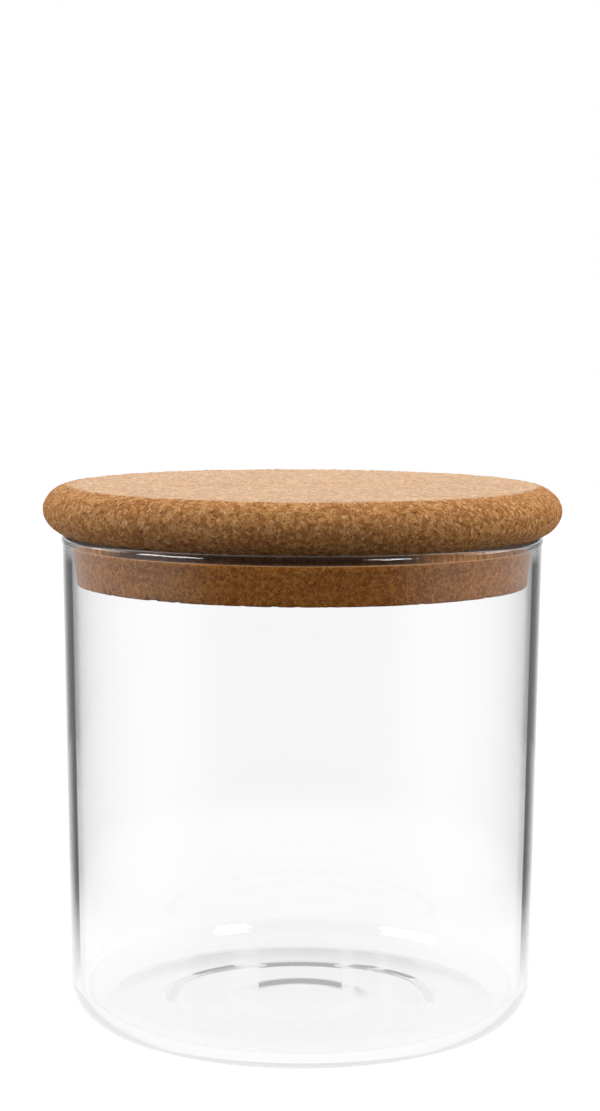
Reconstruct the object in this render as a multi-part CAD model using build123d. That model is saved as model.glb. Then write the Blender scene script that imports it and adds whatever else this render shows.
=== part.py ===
"""Clear glass storage jar with a two-layer cork lid.

The origin is the centre of the jar's base, on the surface that it stands on. +Z is up the jar's axis.
Every half section is drawn as (radius, height) and turned once about Z. All lengths are millimetres.
"""
from build123d import *
import os

# Glass jar, whose wall narrows a little from the mouth down to the heel
jar_height = 103.0
jar_radius = 50.0
wall_taper = 0.7
wall = 2.0
floor_thickness = 2.6
heel_radius = 8.0

# Rim of the glass: a round bead a little wider than the wall, with a tight crease under it
bead_projection = 0.2
bead_height = 1.5
bead_run_out = 0.3
bead_blend = 0.8
bead_crease = 0.15
rim_round_share = 0.45

# Shallow hollow under the glass floor, which leaves a flat ring to stand on
standing_ring_width = 12.5
hollow_depth = 0.9
hollow_slope = 3.5
hollow_blend = 4.0

# Cork disc: a flat disc whose edge is a half ellipse cut off by the two faces
disc_overhang = 3.7
disc_thickness = 10.1
nose_reach = 7.2
nose_overshoot = 0.35

# Cork plug under the disc
plug_depth = 10.0
plug_clearance = 0.1
plug_taper = 0.9
plug_corner_radius = 0.6

# Radii that follow: the bead's outside, the wall above the heel, and the inner side at both ends
rim_radius = jar_radius + bead_projection
base_radius = jar_radius - wall_taper
mouth_radius = jar_radius - wall
inner_base_radius = base_radius - wall


def turned(section):
    """Solid made by turning a half section of radii and heights once about the jar's axis."""
    return revolve(Plane.XZ * section, axis=Axis.Z)


def glass_jar():
    """Outer line up the base and wall, over the rim, and back down the inner side to the floor."""
    hollow_radius = base_radius - heel_radius - standing_ring_width
    bead_bottom = jar_height - bead_height
    rim_round = rim_round_share * (rim_radius - mouth_radius)
    corners = [
        ((hollow_radius - hollow_slope, hollow_depth), hollow_blend),
        ((hollow_radius, 0), hollow_blend),
        ((base_radius, 0), heel_radius),
        ((jar_radius, bead_bottom - bead_run_out), bead_crease),
        ((rim_radius, bead_bottom), bead_blend),
        ((rim_radius, jar_height), rim_round),
        ((mouth_radius, jar_height), rim_round),
        ((inner_base_radius, floor_thickness), heel_radius - wall),
    ]
    underside = (0, hollow_depth)
    floor = (0, floor_thickness)
    points = [underside] + [point for point, radius in corners] + [floor]
    outline = FilletPolyline(*points, radius=[radius for point, radius in corners])
    return turned(make_face(outline.edges() + [Line(floor, underside)]))


def cork_disc():
    """Flat disc with an elliptical nose, whose flat lower face lies on the glass rim."""
    nose_centre = rim_radius + disc_overhang - nose_reach
    half_thickness = disc_thickness / 2
    corner = (Align.MIN, Align.MIN)
    core = Rectangle(nose_centre, disc_thickness, align=corner)
    slab = Rectangle(nose_centre + nose_reach, disc_thickness, align=corner)
    nose = Pos(nose_centre, half_thickness) * Ellipse(nose_reach, half_thickness + nose_overshoot)
    return Pos(0, 0, jar_height) * turned(core + (nose & slab))


def cork_plug():
    """Tapered stopper glued to the disc's lower face, a little smaller than the mouth."""
    top_radius = mouth_radius - plug_clearance
    bottom_radius = top_radius - plug_taper
    outline = FilletPolyline(
        (0, -plug_depth), (bottom_radius, -plug_depth), (top_radius, 0), (0, 0),
        radius=[plug_corner_radius, 0],
    )
    section = make_face(outline.edges() + [Line((0, 0), (0, -plug_depth))])
    return Pos(0, 0, jar_height) * turned(section)


parts = {
    "glass_jar": glass_jar(),
    "cork_disc": cork_disc(),
    "cork_plug": cork_plug(),
}

os.makedirs("parts", exist_ok=True)
for name, solid in parts.items():
    export_step(solid, f"parts/{name}.step")
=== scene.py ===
import math

import bpy
import numpy as np
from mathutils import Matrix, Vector


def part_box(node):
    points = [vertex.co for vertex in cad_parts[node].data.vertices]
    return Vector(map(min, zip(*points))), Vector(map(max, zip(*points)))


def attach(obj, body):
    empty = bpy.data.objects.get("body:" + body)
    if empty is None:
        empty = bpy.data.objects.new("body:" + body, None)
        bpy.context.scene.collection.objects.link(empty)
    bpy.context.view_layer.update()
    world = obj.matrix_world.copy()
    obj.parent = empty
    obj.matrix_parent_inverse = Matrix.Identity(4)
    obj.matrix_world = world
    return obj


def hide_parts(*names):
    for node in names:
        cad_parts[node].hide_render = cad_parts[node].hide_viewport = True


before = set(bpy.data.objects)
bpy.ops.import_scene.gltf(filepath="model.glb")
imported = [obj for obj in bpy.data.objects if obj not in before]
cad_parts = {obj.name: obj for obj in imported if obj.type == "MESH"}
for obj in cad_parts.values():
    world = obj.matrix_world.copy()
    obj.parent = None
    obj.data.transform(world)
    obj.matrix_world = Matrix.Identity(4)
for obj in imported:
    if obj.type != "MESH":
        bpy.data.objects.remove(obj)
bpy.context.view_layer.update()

# A millimetre in metres, a length to divide by in place of 0, and full white and black
MM = 0.001
TINY = 1e-12
WHITE, BLACK = (1, 1, 1, 1), (0, 0, 0, 1)

# Sizes from the frame
JAR_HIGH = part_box("glass_jar")[1]
DISC_LOW, DISC_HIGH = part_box("cork_disc")
PLUG_LOW, PLUG_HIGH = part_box("cork_plug")

# Glass: the outline that the jar has, in metres
RIM_RADIUS = JAR_HIGH.x
JAR_HEIGHT = JAR_HIGH.z
BEAD_PROJECTION = 0.2 * MM
BEAD_HEIGHT = 1.5 * MM
BEAD_RUN_OUT = 0.3 * MM
BEAD_BLEND = 0.8 * MM
BEAD_CREASE = 0.15 * MM
RIM_ROUND = 0.99 * MM
WALL = 2.0 * MM
WALL_TAPER = 0.7 * MM
HEEL_ROUND = 8.0 * MM
FLOOR_THICKNESS = 2.6 * MM
HOLLOW_DEPTH = 0.9 * MM
GLASS_SEGMENTS = 288
GLASS_SPACING, GLASS_ARC_SPACING, HOLLOW_SPACING = 2.4 * MM, 0.2 * MM, 0.3 * MM

# Heights below which light from round about, and light of the lamps, passes straight through the glass
BEAD_FOOT = JAR_HEIGHT - BEAD_HEIGHT - BEAD_RUN_OUT
LAMPS_PASS_BELOW = JAR_HEIGHT - 1.0 * MM

# Cork: the nose of the disc, the taper of the plug, and how far apart their rings lie
DISC_RADIUS = DISC_HIGH.x
NOSE_REACH = 7.2 * MM
NOSE_OVERSHOOT = 0.35 * MM
PLUG_TAPER = 0.9 * MM
PLUG_CORNER = 0.6 * MM
CORK_SEGMENTS = 900
NOSE_STEPS = 44
FACE_SPACING, UNDERSIDE_SPACING = 1.5 * MM, 2.5 * MM
PLUG_SPACING, PLUG_ARC_SPACING = 1.1 * MM, 0.15 * MM

# Cork relief: the sizes of its granules, soft swells and nicks, the seed of each, the shares that they have
# in the push, and how far the whole pushes on each piece
RELIEF_GRANULE, RELIEF_SWELL, RELIEF_NICK = 1.5 * MM, 4.0 * MM, 1.0 * MM
GRANULE_SEED, SWELL_SEED, NICK_SEED = 7, 3, 23
GRANULE_PUSH, SEAM_PUSH, SWELL_PUSH = 0.5, 0.6, 0.8
SEAM_WIDTH = 0.25
NICK_LEVEL, NICK_EDGE = 0.72, 0.5
NICK_REACH = 1.2 * MM
DISC_RELIEF, DISC_NICKS = 0.14 * MM, 0.25 * MM
FACE_RELIEF_SHARE = 0.3
PLUG_RELIEF, PLUG_NICKS = 0.06 * MM, 0.5 * MM

# What turns a cell's whole numbers and a seed into a steady value
HASH_WEIGHTS = np.array([127.1, 311.7, 74.7])
HASH_SEED_STEP, HASH_STRETCH = 19.19, 43758.5453

# Camera: where the photograph was taken from, its frame in pixels, and the column and row of the point in it
# that lay straight ahead
PHOTO_WIDTH, PHOTO_HEIGHT = 600, 1111
FOCAL_PIXELS = 2336.7
AHEAD_COLUMN, AHEAD_ROW = 301.2, 772.0
CAMERA_DISTANCE = 489.1 * MM
CAMERA_HEIGHT = 147.1 * MM
CAMERA_PITCH = 11.0
CAMERA_ROLL = 0.26
SENSOR_WIDTH = 36.0
CLIP_START = 10 * MM

# Studio: shares of full light. Its skies are in degrees above the horizon, and the mat and glow spans in
# metres from the axis. The other spans are of a direction's X to the right or Y to the back, from -1 to 1
LIT_SKY = (18, 52)
SKY_LIGHT = 0.45
LIT_SPAN = (-0.7, 0.2)
LIT_FRONT, LIT_BACK = 0.0, 0.5
MIRRORED_SKY = (2, 12)
BACKDROP_SPAN = (0.4, 0.95)
SEEN_ABOVE = (0.05, 2.5)
FRONT_SPAN = (-0.85, -0.35)
SEEN_FRONT, SEEN_ROUND = 0.0, 0.5
MAT_SPAN = (0.10, 0.17)
SEEN_MAT = 1.0
SEEN_THROUGH_BASE = 0.88
SEEN_THROUGH_GLASS = 1.11
THROUGH_BEAD_RIGHT, THROUGH_BEAD_BACK = 0.4, 2.0
THROUGH_BEAD_RIGHT_SPAN, THROUGH_BEAD_BACK_SPAN = (0.5, 0.85), (0.15, 0.5)
FLOOR_REACH = 1.5
FLOOR_DROP = 0.05 * MM
FLOOR_PAINT, FLOOR_PAINT_AS_LIGHT = 0.15, 0.03
GLOW_SPAN = (0.1, 0.7)
FLOOR_GLOW = (0.9, 0.98)

# Lamps: name, place, width and height in metres, share of full light, and whether it is only mirrored
LAMP_AIM = (0, 0, 0.1)
LAMPS = (
    ("top_light", (0, 0.25, 0.85), 0.8, 0.6, 0.6, False),
    ("left_light", (-0.85, 0.22, 0.45), 0.4, 0.5, 0.25, False),
    ("right_light", (0.85, 0.15, 0.45), 0.4, 0.5, 0.36, False),
    ("front_left_light", (-0.88, -0.43, 0.43), 0.6, 0.15, 0.26, False),
    ("front_right_light", (0.7, -0.7, 0.43), 0.35, 0.15, 0.24, False),
    ("left_card", (-0.88, -0.4, 0.42), 0.6, 0.3, 0.8, True),
    ("right_card", (0.66, -0.75, 0.53), 0.35, 0.38, 0.5, True),
)

# Glass: bending and colour; the slants at which its edge fades and at which a painted dark band lies on its
# inner wall, where the wall turns light back and would show dark surroundings; the radius between the wall's
# two surfaces; and where that painted band begins and ends, in metres up
GLASS_IOR = 1.47
GLASS_COLOUR = (0.970, 0.969, 0.975)
EDGE_FADE = (0.77, 0.96)
TURNED_BACK = (0.2655, 0.2685)
MIDDLE_OF_WALL = 48.65 * MM
BAND_LOW_END = (9 * MM, 28 * MM)
BAND_HIGH_END = (98 * MM, 101 * MM)

# Painted glow in the glass, in place of light that turns back many times inside it: how bright the glow
# shows, and the places across the jar, as centre and half width, where painted dark streaks lie in the
# base's glow
CAUGHT_COLOUR = (1.0, 0.97, 0.95)
CAUGHT_IN_RIM, CAUGHT_IN_HEEL, CAUGHT_IN_BASE, CAUGHT_DARK = 0.06, 0.8, 0.9, 0.33
HEEL_AND_RIM_PART = JAR_HEIGHT / 2
DARK_STREAKS = ((0, 9.5 * MM), (15.3 * MM, 3.0 * MM), (23.8 * MM, 3.2 * MM), (-20.5 * MM, 4.8 * MM))

# How often a ray has been turned back, or has gone through a surface of glass, plus a half, so that one more
# is over it
ONCE_TURNED_BACK = 1.5
NOT_THROUGH_GLASS, THROUGH_TWO_SURFACES = 0.5, 2.5

# Underside of the base: where its hollow's slope begins, how wide that is at these angles from the back,
# and its middle, which is a little deeper
SLOPE_FOOT = 29.6 * MM
SLOPE_ANGLES = np.radians((0, 20, 32, 58, 105, 180))
SLOPE_WIDTHS = np.array((4, 4, 1.2, 1.2, 4.5, 6)) * MM
MIDDLE_RADIUS = 16.5 * MM
MIDDLE_SLOPE = 6.5 * MM
MIDDLE_DEPTH = 0.24 * MM

# Cork colour: how far its granules' borders wander, in granules; where the disc's smooth face ends and how
# ragged that border is; each noise's scale, detail and roughness; the spans of noise that make seams, pits,
# flecks and fine grain; their shares; and how much each of them raises or sinks the surface
GRAIN_BEND = 1.2
FACE_EDGE = (48.6 * MM, 49.4 * MM)
RAGGED_REACH = (-0.6 * MM, 0.6 * MM)
RAGGED_NOISE = (1 / (1.2 * MM), 2, 0.6)
BEND_NOISE, FINE_NOISE, BROAD_NOISE = (0.9, 3, 0.6), (2.3, 3, 0.65), (0.12, 2, 0.5)
PIT_NOISE, FLECK_NOISE = (1.35, 2, 0.5), (1.1, 2, 0.5)
SEAM_SPAN, PIT_SPAN, FLECK_SPAN, NOISE_SPAN = (0.02, 0.16), (0.40, 0.31), (0.60, 0.70), (0.3, 0.7)
SEAM_SHARE, FLECK_SHARE, PIT_SHARE = 0.4, 0.8, 0.8
BROAD_SHADE = (-0.12, 0.12)
FLECKS_APART = (31.7, 12.3, 47.9)
PALE_HEIGHT, FLECK_HEIGHT, PIT_DEPTH, SEAM_DEPTH = 0.6, 0.3, 0.9, 0.35
FACE_ROUGHNESS, SIDE_ROUGHNESS, DARK_ROUGHNESS = 0.45, 0.7, 0.1
BUMP_STRENGTH = 0.6

# A Mix node's first value and its result, among its inputs and its outputs, for each kind
MIX_SOCKETS = {"RGBA": (6, 2), "FLOAT": (2, 0)}

# Each piece of cork: the size of its granules, the contrast of its smooth face and of its rough side, the
# depth of its grain, its gloss and its colours. The colour that multiplies the smooth face makes the disc's
# face paler and greyer: painted sheen
DISC_GRANULE, DISC_CONTRAST, DISC_GRAIN_DEPTH, DISC_GLOSS = 0.85 * MM, (1.4, 3.5), 0.15 * MM, 0.2
PLUG_GRANULE, PLUG_CONTRAST, PLUG_GRAIN_DEPTH, PLUG_GLOSS = 0.7 * MM, (3.4, 3.4), 0.1 * MM, 0.1
DISC_COLOURS = {
    "Pale": (0.66, 0.318, 0.097), "Dark": (0.37, 0.134, 0.025), "Pit": (0.09, 0.022, 0.003),
    "Fleck": (0.82, 0.53, 0.25), "Face Sheen": (1.0, 1.17, 1.35),
}
# The plug's browns are deeper and more saturated than the disc's: painted shade, for the plug lies under the
# disc and behind the glass
PLUG_COLOURS = {
    "Pale": (0.64, 0.25, 0.038), "Dark": (0.365, 0.115, 0.01), "Pit": (0.11, 0.03, 0.004),
    "Fleck": (0.70, 0.36, 0.11), "Face Sheen": (1, 1, 1),
}

# Plug: a painted highlight, a pale line where the rim's bead would gather light onto it, and painted shade
# above that in front, where the bead would show dark, in metres up; and where the painted shade begins and
# ends across the plug
PAINTED_LIGHT_FROM, PAINTED_LIGHT_TO = (100.80 * MM, 100.93 * MM), (101.05 * MM, 101.15 * MM)
PAINTED_SHADE_FROM = (101.05 * MM, 101.18 * MM)
PAINTED_SHADE_LEFT_END, PAINTED_SHADE_RIGHT_END = (-41 * MM, -33 * MM), (19 * MM, 28 * MM)
PAINTED_LIGHT_SHARE, PAINTED_SHADE_SHARE = 0.7, 0.9
PAINTED_LIGHT_COLOUR, PAINTED_SHADE_COLOUR = (0.85, 0.45, 0.18), (0.05, 0.018, 0.006)


def unit(vector):
    """The vector at length one."""
    return vector / np.linalg.norm(vector)


def rounded_outline(corners, spacing, arc_spacing):
    """Open outline of straight runs with rounded corners, as an array of (radius, height).

    corners are (radius, height, rounding). An arc leaves the run at rounding * tan(turn / 2)
    before its corner, turns evenly about its centre and meets the next run as far past it.
    """
    places = np.array([corner[:2] for corner in corners], float)
    stretches = [places[:1]]
    for before, corner, after, rounding in zip(places, places[1:], places[2:], [c[2] for c in corners[1:]]):
        way_in, way_out = unit(corner - before), unit(after - corner)
        turn = math.atan2(way_in[0] * way_out[1] - way_in[1] * way_out[0], way_in @ way_out)
        start = corner - way_in * rounding * math.tan(abs(turn) / 2)
        side = np.array([-way_in[1], way_in[0]]) * math.copysign(1, turn)
        centre = start + side * rounding
        angles = np.linspace(0, turn, max(2, int(rounding * abs(turn) / arc_spacing)) + 1)
        spoke = start - centre
        arc = centre + np.stack(
            [spoke[0] * np.cos(angles) - spoke[1] * np.sin(angles),
             spoke[0] * np.sin(angles) + spoke[1] * np.cos(angles)], -1)
        stretches += [straight(stretches[-1][-1], arc[0], spacing), arc]
    stretches.append(straight(stretches[-1][-1], places[-1], spacing))
    return np.concatenate([stretches[0]] + [s[1:] for s in stretches[1:]])


def straight(start, end, spacing):
    """Evenly spaced points from start to end: start + (end - start) * share."""
    steps = max(1, int(np.linalg.norm(end - start) / spacing))
    return start + (end - start) * np.linspace(0, 1, steps + 1)[:, None]


def turned_grid(outline, segments):
    """Points of the outline carried round the axis: x = r cos a, y = r sin a, z = height."""
    angle = np.linspace(0, 2 * np.pi, segments, endpoint=False)
    radius, height = outline[:, :1], outline[:, 1:]
    return np.stack([radius * np.cos(angle), radius * np.sin(angle), height + 0 * angle], -1)


def turned_mesh(name, grid):
    """Closed mesh of a grid of rings whose first and last ring shrink to one point on the axis."""
    rings, segments = grid.shape[:2]
    poles = np.stack([grid[0].mean(0), grid[-1].mean(0)])
    vertices = np.concatenate([grid[1:-1].reshape(-1, 3), poles])
    index = np.arange((rings - 2) * segments).reshape(rings - 2, segments)
    along = np.roll(index, -1, axis=1)
    quads = np.stack([index[:-1], along[:-1], along[1:], index[1:]], -1).reshape(-1, 4)
    first, last = len(vertices) - 2, len(vertices) - 1
    bottom = np.stack([np.full(segments, first), along[0], index[0]], -1)
    top = np.stack([np.full(segments, last), index[-1], along[-1]], -1)
    mesh = bpy.data.meshes.new(name)
    mesh.from_pydata(vertices.tolist(), [], quads.tolist() + bottom.tolist() + top.tolist())
    mesh.polygons.foreach_set("use_smooth", np.ones(len(mesh.polygons), bool))
    mesh.update()
    piece = bpy.data.objects.new(name, mesh)
    bpy.context.scene.collection.objects.link(piece)
    return piece


def hashed(cells, seed):
    """A steady value from 0 to 1 for each whole-number cell: the fraction of a large sine."""
    mixed = np.sin(cells @ HASH_WEIGHTS + seed * HASH_SEED_STEP) * HASH_STRETCH
    return mixed - np.floor(mixed)


def value_noise(points, size, seed):
    """Smooth noise from 0 to 1: hashed values at the corners of cubes of that size, smoothly blended."""
    scaled = points / size
    cell = np.floor(scaled)
    part = scaled - cell
    part = part * part * (3 - 2 * part)
    total = np.zeros(points.shape[:-1])
    for corner in np.ndindex(2, 2, 2):
        weight = np.prod(np.where(corner, part, 1 - part), axis=-1)
        total += weight * hashed(cell + np.array(corner), seed)
    return total


def granules(points, size, seed):
    """Nearest jittered cell centre: gives each granule's own value, and how deep in its edge a point lies.

    Each cube of that size holds one centre. The seam falls from 1, where two centres are equally near, to 0,
    where one is nearer by SEAM_WIDTH cubes.
    """
    cell = np.floor(points / size)
    nearest = np.full(points.shape[:-1], np.inf)
    second = nearest.copy()
    level = np.zeros(points.shape[:-1])
    for step in np.ndindex(3, 3, 3):
        other = cell + np.array(step) - 1
        centre = other + np.stack([hashed(other, seed + k) for k in range(3)], -1)
        distance = np.linalg.norm(points / size - centre, axis=-1)
        closer = distance < nearest
        second = np.where(closer, nearest, np.minimum(second, distance))
        level = np.where(closer, hashed(other, seed + 3), level)
        nearest = np.where(closer, distance, nearest)
    seam = np.clip(1 - (second - nearest) / SEAM_WIDTH, 0, 1)
    return level, seam


def surface_normals(grid):
    """Outward unit normals of a turned grid: steps round the axis crossed with steps along the outline."""
    round_way = np.roll(grid, -1, axis=1) - np.roll(grid, 1, axis=1)
    up_way = np.gradient(grid, axis=0)
    normal = np.cross(round_way, up_way)
    length = np.linalg.norm(normal, axis=-1, keepdims=True)
    return normal / np.maximum(length, TINY)


def glass_grid():
    """The jar's outline, up the outside, over the rim and down the inside, carried round the axis."""
    outside = RIM_RADIUS - BEAD_PROJECTION
    inside = outside - WALL
    base = outside - WALL_TAPER
    bead_bottom = JAR_HEIGHT - BEAD_HEIGHT
    outline = rounded_outline(
        [
            (0, 0, 0),
            (base, 0, HEEL_ROUND),
            (outside, bead_bottom - BEAD_RUN_OUT, BEAD_CREASE),
            (RIM_RADIUS, bead_bottom, BEAD_BLEND),
            (RIM_RADIUS, JAR_HEIGHT, RIM_ROUND),
            (inside, JAR_HEIGHT, RIM_ROUND),
            (base - WALL, FLOOR_THICKNESS, HEEL_ROUND - WALL),
            (0, FLOOR_THICKNESS, 0),
        ],
        GLASS_SPACING, GLASS_ARC_SPACING)
    hollow = straight(np.array([0, 0]), np.array([SLOPE_FOOT, 0]), HOLLOW_SPACING)
    rest = outline[(outline[:, 0] > SLOPE_FOOT) | (outline[:, 1] > 0)]
    grid = turned_grid(np.concatenate([hollow, rest]), GLASS_SEGMENTS)
    grid[:len(hollow), :, 2] = hollow_height(grid[:len(hollow)])
    return grid


def hollow_height(places):
    """How high the underside lies: HOLLOW_DEPTH inside its slope, and MIDDLE_DEPTH more in the middle.

    Each step is a smoothstep of the radius. The outer one's width changes with the angle.
    """
    radius = np.hypot(places[..., 0], places[..., 1])
    from_back = np.abs(np.arctan2(places[..., 0], places[..., 1]))
    width = np.interp(from_back, SLOPE_ANGLES, SLOPE_WIDTHS)
    slope = smooth_step((SLOPE_FOOT - radius) / width)
    middle = smooth_step((MIDDLE_RADIUS - radius) / MIDDLE_SLOPE)
    return HOLLOW_DEPTH * slope + MIDDLE_DEPTH * middle


def smooth_step(share):
    """0 below 0, 1 above 1, and 3 s^2 - 2 s^3 between."""
    held = np.clip(share, 0, 1)
    return held * held * (3 - 2 * held)


def clear_jar():
    """The glass jar."""
    piece = turned_mesh("clear_jar", glass_grid())
    piece.data.materials.append(clear_glass())
    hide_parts("glass_jar")
    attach(piece, "jar")


def cork_grid(outline, grain, nicks):
    """A cork outline carried round the axis and pushed in and out along its normals by its granules.

    grain and nicks hold a length for each ring. The push is grain * (GRANULE_PUSH * granule's own value
    - SEAM_PUSH * seam + SWELL_PUSH * soft noise), less nicks where a value is over NICK_LEVEL.
    """
    grid = turned_grid(outline, CORK_SEGMENTS)
    normal = surface_normals(grid)
    level, seam = granules(grid, RELIEF_GRANULE, GRANULE_SEED)
    swell = value_noise(grid, RELIEF_SWELL, SWELL_SEED) - 0.5
    lost, edge = granules(grid, RELIEF_NICK, NICK_SEED)
    push = grain[:, None] * (GRANULE_PUSH * (level - 0.5) - SEAM_PUSH * seam + SWELL_PUSH * swell)
    push -= nicks[:, None] * np.clip((lost - NICK_LEVEL) / (1 - NICK_LEVEL), 0, 1) * (1 - NICK_EDGE * edge)
    push[0] = push[0].mean()
    push[-1] = push[-1].mean()
    return grid + normal * push[..., None]


def near(outline, place, reach):
    """1 at the outline's points that lie at place, falling to 0 at that reach."""
    return np.clip(1 - np.linalg.norm(outline - place, axis=-1) / reach, 0, 1)


def lid_disc(grain):
    """The cork disc: flat faces, and an edge that is a half ellipse cut off by them.

    The edge is radius = centre + NOSE_REACH * cos a, height = middle + half_height * sin a.
    """
    thickness = DISC_HIGH.z - DISC_LOW.z
    middle = (DISC_HIGH.z + DISC_LOW.z) / 2
    half_height = thickness / 2 + NOSE_OVERSHOOT
    cut = math.asin(thickness / 2 / half_height)
    angle = np.linspace(-cut, cut, NOSE_STEPS)
    centre = DISC_RADIUS - NOSE_REACH
    nose = np.stack([centre + NOSE_REACH * np.cos(angle), middle + half_height * np.sin(angle)], -1)
    below = straight(np.array([0, DISC_LOW.z]), nose[0], UNDERSIDE_SPACING)
    above = straight(nose[-1], np.array([0, DISC_HIGH.z]), FACE_SPACING)
    outline = np.concatenate([below[:-1], nose, above[1:]])
    relief = DISC_RELIEF * np.interp(outline[:, 0], FACE_EDGE, (FACE_RELIEF_SHARE, 1))
    nicks = DISC_NICKS * np.maximum(near(outline, nose[0], NICK_REACH), near(outline, nose[-1], NICK_REACH))
    piece = turned_mesh("lid_disc", cork_grid(outline, relief, nicks))
    piece.data.materials.append(pressed_cork(
        grain, "disc_cork", DISC_GRANULE, DISC_COLOURS, DISC_CONTRAST, DISC_GRAIN_DEPTH, DISC_GLOSS))
    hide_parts("cork_disc")
    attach(piece, "lid")


def lid_plug(grain):
    """The cork plug: a tapered side with a small worn corner below."""
    top = PLUG_HIGH.x
    outline = rounded_outline(
        [
            (0, PLUG_LOW.z, 0),
            (top - PLUG_TAPER, PLUG_LOW.z, PLUG_CORNER),
            (top, PLUG_HIGH.z, 0),
            (0, PLUG_HIGH.z, 0),
        ],
        PLUG_SPACING, PLUG_ARC_SPACING)
    corner = np.array([top - PLUG_TAPER, PLUG_LOW.z])
    relief = np.full(len(outline), PLUG_RELIEF)
    nicks = PLUG_NICKS * near(outline, corner, NICK_REACH)
    piece = turned_mesh("lid_plug", cork_grid(outline, relief, nicks))
    piece.data.materials.append(pressed_cork(
        grain, "plug_cork", PLUG_GRANULE, PLUG_COLOURS, PLUG_CONTRAST, PLUG_GRAIN_DEPTH, PLUG_GLOSS,
        painted=painted_rim_light))
    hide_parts("cork_plug")
    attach(piece, "lid")


def add(tree, kind, **settings):
    """A new node with its settings; a setting whose name is an input's goes to that input."""
    node = tree.nodes.new(kind)
    for name, value in settings.items():
        socket = node.inputs.get(name.replace("_", " "))
        if socket is not None:
            socket.default_value = value
        else:
            setattr(node, name, value)
    return node


def feed(tree, sockets, values):
    """Give each socket its value: an output that is linked to it, or a written number, colour or vector."""
    for socket, value in zip(sockets, values):
        if isinstance(value, (int, float, tuple)):
            socket.default_value = value
        else:
            tree.links.new(value, socket)


def blank_material(name):
    """A material with only its output node, and that node."""
    material = bpy.data.materials.new(name)
    material.use_nodes = True
    tree = material.node_tree
    tree.nodes.clear()
    return material, tree, tree.nodes.new("ShaderNodeOutputMaterial")


def vector_math(tree, operation, *values):
    """The result of a Vector Math node on its values."""
    node = add(tree, "ShaderNodeVectorMath", operation=operation)
    feed(tree, node.inputs, values)
    return node.outputs["Value" if operation == "LENGTH" else "Vector"]


def xyz(tree, vector):
    """A vector's parts, by the names X, Y and Z."""
    node = add(tree, "ShaderNodeSeparateXYZ")
    tree.links.new(vector, node.inputs[0])
    return node.outputs


def flattened(tree, vector):
    """The vector with its Z made 0."""
    return vector_math(tree, "MULTIPLY", vector, (1, 1, 0))


def from_axis(tree, place):
    """How far a place lies from the jar's axis: the length of its X and Y."""
    return vector_math(tree, "LENGTH", flattened(tree, place))


def mixed_shader(tree, factor, first, second):
    """A Mix Shader node's result: first where factor is 0, second where it is 1."""
    node = add(tree, "ShaderNodeMixShader")
    feed(tree, node.inputs, (factor, first, second))
    return node.outputs[0]


def clear_glass():
    """Clear glass that lets lamps through.

    It fades out where it is seen along its surface. Where its inner wall turns light back it is mixed with
    black: painted shade in place of the dark surroundings that light would show.
    """
    material, tree, output = blank_material("clear_glass")
    glass = add(tree, "ShaderNodeBsdfPrincipled", Roughness=0.0, IOR=GLASS_IOR)
    glass.inputs["Transmission Weight"].default_value = 1.0
    glass.inputs["Base Color"].default_value = (*GLASS_COLOUR, 1)
    clear = add(tree, "ShaderNodeBsdfTransparent", Color=(*GLASS_COLOUR, 1))
    painted_band_shade = add(tree, "ShaderNodeBsdfDiffuse", Color=BLACK)
    slant = add(tree, "ShaderNodeLayerWeight", Blend=0.5)
    fade = mapped(tree, slant.outputs["Facing"], EDGE_FADE, (0, 1))
    turned_back = mapped(tree, slant.outputs["Facing"], TURNED_BACK, (0, 1))
    place = add(tree, "ShaderNodeTexCoord").outputs["Object"]
    parts = xyz(tree, place)
    inner = arithmetic(tree, "LESS_THAN", from_axis(tree, place), MIDDLE_OF_WALL)
    low_end = mapped(tree, parts["Z"], BAND_LOW_END, (0, 1))
    high_end = mapped(tree, parts["Z"], BAND_HIGH_END, (1, 0))
    side = add(tree, "ShaderNodeNewGeometry")
    in_painted_band = product(tree, turned_back, inner, low_end, high_end, side.outputs["Backfacing"])
    # Painted shade: black mixed in where the inner wall turns light back
    painted_band = mixed_shader(tree, in_painted_band, glass.outputs[0], painted_band_shade.outputs[0])
    edge = mixed_shader(tree, fade, painted_band, clear.outputs[0])
    ray = add(tree, "ShaderNodeLightPath")
    below_lamps = arithmetic(tree, "LESS_THAN", parts["Z"], LAMPS_PASS_BELOW)
    below_bead = arithmetic(tree, "LESS_THAN", parts["Z"], BEAD_FOOT)
    from_lamps = product(tree, ray.outputs["Is Shadow Ray"], below_lamps)
    from_round = product(tree, ray.outputs["Is Diffuse Ray"], below_bead)
    passing = arithmetic(tree, "MAXIMUM", from_lamps, from_round)
    lit = mixed_shader(tree, passing, caught_light(tree, ray, parts, edge), clear.outputs[0])
    tree.links.new(lit, output.inputs["Surface"])
    return material


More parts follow.
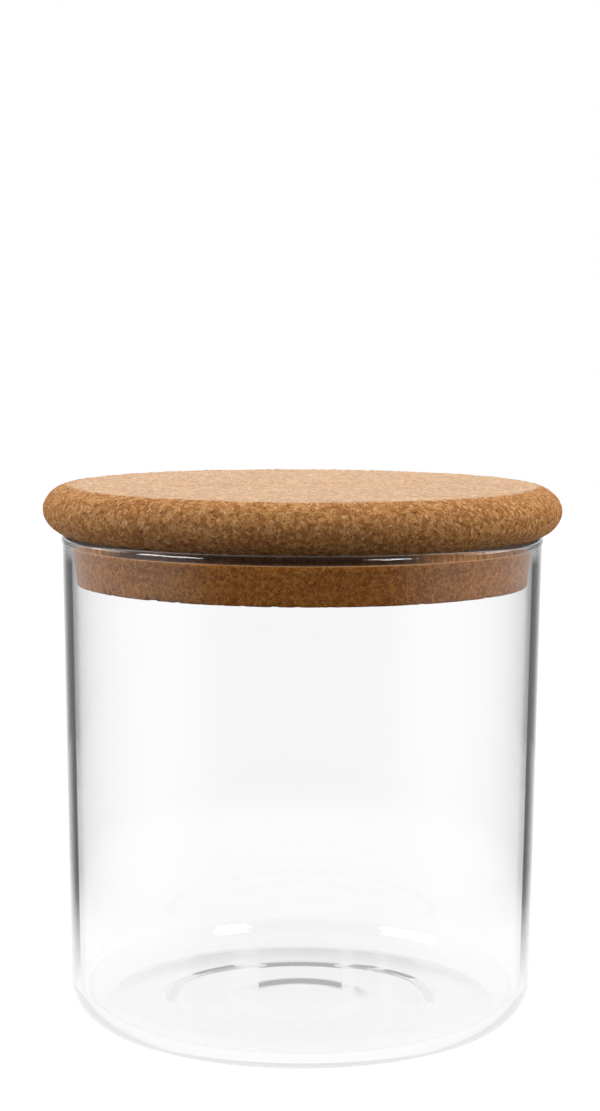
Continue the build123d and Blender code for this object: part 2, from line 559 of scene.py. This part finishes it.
def caught_light(tree, ray, parts, glass):
    """The glass, with an even glow in place of what light turned back twice or more inside it would show."""
    glow = add(tree, "ShaderNodeEmission", Color=(*CAUGHT_COLOUR, 1))
    # Painted dark streaks in the base's glow
    dark = 0.0
    for middle, half_width in DARK_STREAKS:
        streak = arithmetic(tree, "COMPARE", parts["X"], middle, half_width)
        dark = arithmetic(tree, "MAXIMUM", streak, dark)
    dark = product(tree, dark, arithmetic(tree, "GREATER_THAN", parts["Y"], 0.0))
    in_base = blended(tree, dark, CAUGHT_IN_BASE, CAUGHT_DARK, "FLOAT")
    through_floor = arithmetic(tree, "GREATER_THAN", ray.outputs["Transmission Depth"], THROUGH_TWO_SURFACES)
    low = blended(tree, through_floor, CAUGHT_IN_HEEL, in_base, "FLOAT")
    upper_half = arithmetic(tree, "GREATER_THAN", parts["Z"], HEEL_AND_RIM_PART)
    tree.links.new(blended(tree, upper_half, low, CAUGHT_IN_RIM, "FLOAT"), glow.inputs["Strength"])
    caught = arithmetic(tree, "GREATER_THAN", ray.outputs["Glossy Depth"], ONCE_TURNED_BACK)
    return mixed_shader(tree, caught, glass, glow.outputs[0])


def mapped(tree, source, span, result, smooth=False):
    """The source's value carried from one span to another, held at the ends."""
    node = add(tree, "ShaderNodeMapRange", interpolation_type="SMOOTHSTEP" if smooth else "LINEAR")
    for name, value in zip(("From Min", "From Max", "To Min", "To Max"), (*span, *result)):
        node.inputs[name].default_value = value
    tree.links.new(source, node.inputs["Value"])
    return node.outputs["Result"]


def arithmetic(tree, operation, *values):
    """The result of a Math node on its values."""
    node = add(tree, "ShaderNodeMath", operation=operation)
    feed(tree, node.inputs, values)
    return node.outputs[0]


def product(tree, first, *factors):
    """Values multiplied together."""
    for factor in factors:
        first = arithmetic(tree, "MULTIPLY", first, factor)
    return first


def blended(tree, factor, first, second, kind="RGBA"):
    """A Mix node's result: first where factor is 0, second where it is 1."""
    node = add(tree, "ShaderNodeMix", data_type=kind)
    start, result = MIX_SOCKETS[kind]
    feed(tree, (node.inputs[0], node.inputs[start], node.inputs[start + 1]), (factor, first, second))
    return node.outputs[result]


def voronoi(tree, vector, feature, output):
    """A Voronoi texture's output on a vector, in cells of size one."""
    node = add(tree, "ShaderNodeTexVoronoi", feature=feature)
    node.inputs["Scale"].default_value = 1.0
    tree.links.new(vector, node.inputs["Vector"])
    return node.outputs[output]


def clouds(tree, vector, noise, output="Fac"):
    """A noise texture's output on a vector. noise holds its scale, detail and roughness."""
    node = add(tree, "ShaderNodeTexNoise")
    for name, value in zip(("Scale", "Detail", "Roughness"), noise):
        node.inputs[name].default_value = value
    tree.links.new(vector, node.inputs["Vector"])
    return node.outputs[output]


def cork_grain():
    """Node group: pressed cork, with granules of several browns, dark seams and pits, and pale flecks."""
    tree, start, end = group(
        "pressed_cork",
        [("Vector", "NodeSocketVector"), ("Granule", "NodeSocketFloat"), ("Pale", "NodeSocketColor"),
         ("Dark", "NodeSocketColor"), ("Pit", "NodeSocketColor"), ("Fleck", "NodeSocketColor"),
         ("Face Sheen", "NodeSocketColor"), ("Contrast", "NodeSocketFloat"), ("Rough", "NodeSocketFloat")],
        [("Color", "NodeSocketColor"), ("Roughness", "NodeSocketFloat"), ("Height", "NodeSocketFloat")])
    link = tree.links.new
    even = vector_math(tree, "SCALE", start.outputs["Vector"])
    link(arithmetic(tree, "DIVIDE", 1.0, start.outputs["Granule"]), even.node.inputs["Scale"])
    wander = clouds(tree, even, BEND_NOISE, "Color")
    bent = vector_math(tree, "MULTIPLY_ADD", wander, (GRAIN_BEND,) * 3, even)
    apart = vector_math(tree, "ADD", bent, FLECKS_APART)
    chance = add(tree, "ShaderNodeSeparateColor")
    link(voronoi(tree, bent, "F1", "Color"), chance.inputs[0])
    to_seam = voronoi(tree, bent, "DISTANCE_TO_EDGE", "Distance")
    seam = mapped(tree, to_seam, SEAM_SPAN, (1, 0), smooth=True)
    fine = mapped(tree, clouds(tree, even, FINE_NOISE), NOISE_SPAN, (0, 1))
    broad = mapped(tree, clouds(tree, even, BROAD_NOISE), NOISE_SPAN, BROAD_SHADE)
    pits = mapped(tree, clouds(tree, bent, PIT_NOISE), PIT_SPAN, (0, 1))
    flecks = mapped(tree, clouds(tree, apart, FLECK_NOISE), FLECK_SPAN, (0, 1))
    mixed = arithmetic(tree, "ADD", product(tree, chance.outputs[0], 0.5), product(tree, fine, 0.5))
    centred = product(tree, arithmetic(tree, "SUBTRACT", mixed, 0.5), start.outputs["Contrast"])
    spread = arithmetic(tree, "ADD", arithmetic(tree, "ADD", 0.5, broad), centred)
    held = mapped(tree, spread, (0, 1), (0, 1))
    base = blended(tree, held, start.outputs["Dark"], start.outputs["Pale"])
    seamed = blended(tree, product(tree, seam, SEAM_SHARE), base, start.outputs["Dark"])
    flecked = blended(tree, product(tree, flecks, FLECK_SHARE), seamed, start.outputs["Fleck"])
    pitted = blended(tree, product(tree, pits, PIT_SHARE), flecked, start.outputs["Pit"])
    # The smooth face's tint: on the disc a painted sheen
    tint = blended(tree, start.outputs["Rough"], start.outputs["Face Sheen"], WHITE)
    link(vector_math(tree, "MULTIPLY", pitted, tint), end.inputs["Color"])
    in_dark = mapped(tree, held, (0, 1), (DARK_ROUGHNESS, 0.0))
    roughness = mapped(tree, start.outputs["Rough"], (0, 1), (FACE_ROUGHNESS, SIDE_ROUGHNESS))
    link(arithmetic(tree, "ADD", in_dark, roughness), end.inputs["Roughness"])
    raised = arithmetic(tree, "ADD", product(tree, held, PALE_HEIGHT), product(tree, flecks, FLECK_HEIGHT))
    sunk = arithmetic(tree, "ADD", product(tree, pits, PIT_DEPTH), product(tree, seam, SEAM_DEPTH))
    link(arithmetic(tree, "SUBTRACT", raised, sunk), end.inputs["Height"])
    return tree


def pressed_cork(grain, name, granule, colours, contrast, depth, gloss, painted=None):
    """Pressed cork in this piece's own granule size and colours, with painted light and shade, where given,
    laid on its colour.

    contrast is that of the smooth face and that of the rough side, which begins at FACE_EDGE.
    """
    material, tree, output = blank_material(name)
    link = tree.links.new
    where = add(tree, "ShaderNodeTexCoord").outputs["Object"]
    cork = placed(tree, grain)
    link(where, cork.inputs["Vector"])
    cork.inputs["Granule"].default_value = granule
    side = side_mask(tree, where)
    link(side, cork.inputs["Rough"])
    link(mapped(tree, side, (0, 1), contrast), cork.inputs["Contrast"])
    for label, value in colours.items():
        cork.inputs[label].default_value = (*value, 1)
    shader = add(tree, "ShaderNodeBsdfPrincipled", Specular_IOR_Level=gloss)
    bump = add(tree, "ShaderNodeBump", Strength=BUMP_STRENGTH, Distance=depth)
    color = cork.outputs["Color"]
    if painted:
        color = painted(tree, where, color)
    link(color, shader.inputs["Base Color"])
    link(cork.outputs["Roughness"], shader.inputs["Roughness"])
    link(cork.outputs["Height"], bump.inputs["Height"])
    link(bump.outputs["Normal"], shader.inputs["Normal"])
    link(shader.outputs[0], output.inputs["Surface"])
    return material


def painted_rim_light(tree, place, color):
    """The colour with painted light and shade from the rim's bead: a pale line of painted light, and painted
    shade above it in front.
    """
    parts = xyz(tree, place)
    across, height = parts["X"], parts["Z"]
    # Painted highlight: a pale line round the plug just under the bead's foot
    above_foot = mapped(tree, height, PAINTED_LIGHT_FROM, (0, PAINTED_LIGHT_SHARE))
    painted_light_line = product(tree, above_foot, mapped(tree, height, PAINTED_LIGHT_TO, (1, 0)))
    # Painted shade: the plug's top, above that line, darkened in front
    high_up = mapped(tree, height, PAINTED_SHADE_FROM, (0, PAINTED_SHADE_SHARE))
    in_front = arithmetic(tree, "LESS_THAN", parts["Y"], 0.0)
    left_end = mapped(tree, across, PAINTED_SHADE_LEFT_END, (0, 1), smooth=True)
    right_end = mapped(tree, across, PAINTED_SHADE_RIGHT_END, (1, 0), smooth=True)
    painted_front_shade = product(tree, high_up, in_front, left_end, right_end)
    light_lined = blended(tree, painted_light_line, color, (*PAINTED_LIGHT_COLOUR, 1))
    return blended(tree, painted_front_shade, light_lined, (*PAINTED_SHADE_COLOUR, 1))


def side_mask(tree, place):
    """1 beyond FACE_EDGE from the axis, 0 within it, with a border that granules make ragged."""
    ragged = mapped(tree, clouds(tree, place, RAGGED_NOISE), NOISE_SPAN, RAGGED_REACH)
    return mapped(tree, arithmetic(tree, "ADD", from_axis(tree, place), ragged), FACE_EDGE, (0, 1))


def camera():
    """The photograph's camera, which looks along +Y and CAMERA_PITCH down, with its frame shifted upward."""
    data = bpy.data.cameras.new("camera")
    data.sensor_width = SENSOR_WIDTH
    data.lens = data.sensor_width * FOCAL_PIXELS / PHOTO_HEIGHT
    data.shift_x = (PHOTO_WIDTH / 2 - AHEAD_COLUMN) / PHOTO_HEIGHT
    data.shift_y = (AHEAD_ROW - PHOTO_HEIGHT / 2) / PHOTO_HEIGHT
    data.clip_start = CLIP_START
    eye = bpy.data.objects.new("camera", data)
    eye.location = (0, -CAMERA_DISTANCE, CAMERA_HEIGHT)
    eye.rotation_mode = "ZYX"
    eye.rotation_euler = (math.radians(90 - CAMERA_PITCH), 0, math.radians(CAMERA_ROLL))
    bpy.context.scene.collection.objects.link(eye)
    bpy.context.scene.camera = eye


def group(name, inputs, outputs):
    """A new shader node group, its start and its end. inputs and outputs are (name, kind of socket)."""
    tree = bpy.data.node_groups.new(name, "ShaderNodeTree")
    for label, kind in inputs:
        tree.interface.new_socket(label, in_out="INPUT", socket_type=kind)
    for label, kind in outputs:
        tree.interface.new_socket(label, in_out="OUTPUT", socket_type=kind)
    return tree, tree.nodes.new("NodeGroupInput"), tree.nodes.new("NodeGroupOutput")


def placed(tree, made):
    """A node that places the group in a tree."""
    node = tree.nodes.new("ShaderNodeGroup")
    node.node_tree = made
    return node


def studio_round_about():
    """Node group: how bright the studio is towards a place or direction. It is dark in front.

    Mirrored is for what the jar mirrors, Light for what falls on the cork, and Through Bead for what falls
    on it through the bead at the rim, which gathers it from the right and the back.
    """
    tree, start, end = group(
        "studio_round_about", [("Vector", "NodeSocketVector")],
        [("Mirrored", "NodeSocketFloat"), ("Light", "NodeSocketFloat"), ("Through Bead", "NodeSocketFloat")])
    link = tree.links.new
    way = xyz(tree, vector_math(tree, "NORMALIZE", flattened(tree, start.outputs[0])))
    mirrored = mapped(tree, way["Y"], FRONT_SPAN, (SEEN_FRONT, SEEN_ROUND), smooth=True)
    link(mirrored, end.inputs["Mirrored"])
    light = mapped(tree, way["Y"], LIT_SPAN, (LIT_FRONT, LIT_BACK), smooth=True)
    link(light, end.inputs["Light"])
    right = mapped(tree, way["X"], THROUGH_BEAD_RIGHT_SPAN, (0, THROUGH_BEAD_RIGHT))
    back = mapped(tree, way["Y"], THROUGH_BEAD_BACK_SPAN, (0, THROUGH_BEAD_BACK))
    link(arithmetic(tree, "MAXIMUM", right, back), end.inputs["Through Bead"])
    return tree


def light_towards(tree, ray, round_about):
    """What falls on the cork from a direction: Through Bead where glass bent the ray, else Light."""
    bent = arithmetic(tree, "GREATER_THAN", ray.outputs["Transmission Depth"], THROUGH_TWO_SURFACES)
    return blended(tree, bent, round_about.outputs["Light"], round_about.outputs["Through Bead"], "FLOAT")


def white_world(studio):
    """A studio that is white behind the jar and through its glass, and dimmer where the jar mirrors it."""
    world = bpy.data.worlds.new("white_studio")
    world.use_nodes = True
    tree = world.node_tree
    tree.nodes.clear()
    link = tree.links.new
    output = add(tree, "ShaderNodeOutputWorld")
    sky = add(tree, "ShaderNodeBackground", Color=WHITE)
    direction = add(tree, "ShaderNodeTexCoord").outputs["Generated"]
    way = xyz(tree, direction)
    round_about = placed(tree, studio)
    link(direction, round_about.inputs[0])
    above = mapped(tree, way["Z"], sines(MIRRORED_SKY), (0, 1), smooth=True)
    backdrop = mapped(tree, way["Y"], BACKDROP_SPAN, SEEN_ABOVE, smooth=True)
    ray = add(tree, "ShaderNodeLightPath")
    open_air = arithmetic(tree, "LESS_THAN", ray.outputs["Transmission Depth"], NOT_THROUGH_GLASS)
    behind = mapped(tree, way["Y"], BACKDROP_SPAN, (0, SEEN_THROUGH_BASE), smooth=True)
    in_glass = arithmetic(tree, "MAXIMUM", round_about.outputs["Mirrored"], product(tree, above, behind))
    in_gloss = blended(tree, product(tree, above, open_air), in_glass, backdrop, "FLOAT")
    straight_on = blended(tree, ray.outputs["Transmission Depth"], 1.0, SEEN_THROUGH_GLASS, "FLOAT")
    seen = blended(tree, ray.outputs["Glossy Depth"], straight_on, in_gloss, "FLOAT")
    high = mapped(tree, way["Z"], sines(LIT_SKY), (0, 1), smooth=True)
    as_light = blended(tree, high, light_towards(tree, ray, round_about), SKY_LIGHT, "FLOAT")
    link(blended(tree, ray.outputs["Diffuse Depth"], seen, as_light, "FLOAT"), sky.inputs["Strength"])
    link(sky.outputs[0], output.inputs["Surface"])
    bpy.context.scene.world = world


def sines(degrees):
    """The sines of angles in degrees."""
    return tuple(math.sin(math.radians(angle)) for angle in degrees)


def white_floor(studio):
    """A wide pale floor that reads white in view and through glass, and still takes the jar's shadow."""
    mesh = bpy.data.meshes.new("floor")
    corners = FLOOR_REACH * np.array([(-1, -1, 0), (1, -1, 0), (1, 1, 0), (-1, 1, 0)])
    mesh.from_pydata(corners.tolist(), [], [(0, 1, 2, 3)])
    floor = bpy.data.objects.new("floor", mesh)
    bpy.context.scene.collection.objects.link(floor)
    floor.location.z = -FLOOR_DROP
    material, tree, output = blank_material("white_floor")
    link = tree.links.new
    place = add(tree, "ShaderNodeTexCoord").outputs["Object"]
    far = vector_math(tree, "LENGTH", place)
    round_about = placed(tree, studio)
    link(place, round_about.inputs[0])
    past_mat = mapped(tree, far, MAT_SPAN, (0, 1), smooth=True)
    in_gloss = blended(tree, past_mat, SEEN_MAT, round_about.outputs["Mirrored"], "FLOAT")
    ray = add(tree, "ShaderNodeLightPath")
    gloss = ray.outputs["Glossy Depth"]
    seen = blended(tree, gloss, mapped(tree, far, GLOW_SPAN, FLOOR_GLOW), in_gloss, "FLOAT")
    glow = add(tree, "ShaderNodeEmission", Color=WHITE)
    as_light = light_towards(tree, ray, round_about)
    link(blended(tree, ray.outputs["Diffuse Depth"], seen, as_light, "FLOAT"), glow.inputs["Strength"])
    paint = add(tree, "ShaderNodeBsdfDiffuse")
    indirect = arithmetic(tree, "MAXIMUM", gloss, ray.outputs["Diffuse Depth"])
    in_view, as_cast = [(grey, grey, grey, 1) for grey in (FLOOR_PAINT, FLOOR_PAINT_AS_LIGHT)]
    link(blended(tree, indirect, in_view, as_cast), paint.inputs["Color"])
    both = add(tree, "ShaderNodeAddShader")
    feed(tree, both.inputs, (paint.outputs[0], glow.outputs[0]))
    link(both.outputs[0], output.inputs["Surface"])
    mesh.materials.append(material)


def softbox(name, place, width, height, share, only_mirrored):
    """A rectangular lamp at place, turned to face LAMP_AIM.

    A share of 1 lights a facing surface to its written colour. One that is only mirrored lights nothing, and
    is seen only in the glass and as gloss.
    """
    lamp = bpy.data.lights.new(name, "AREA")
    lamp.shape = "RECTANGLE"
    lamp.size, lamp.size_y = width, height
    way = Vector(LAMP_AIM) - Vector(place)
    lamp.energy = share * math.pi ** 2 * way.length_squared
    held = bpy.data.objects.new(name, lamp)
    held.location = place
    held.visible_camera = False
    held.visible_diffuse = not only_mirrored
    held.visible_transmission = only_mirrored
    held.rotation_mode = "QUATERNION"
    held.rotation_quaternion = way.to_track_quat("-Z", "Y")
    bpy.context.scene.collection.objects.link(held)


clear_jar()
cork = cork_grain()
lid_disc(cork)
lid_plug(cork)
camera()
studio = studio_round_about()
white_world(studio)
white_floor(studio)
for lamp in LAMPS:
    softbox(*lamp)
bpy.context.scene.view_settings.view_transform = "Standard"
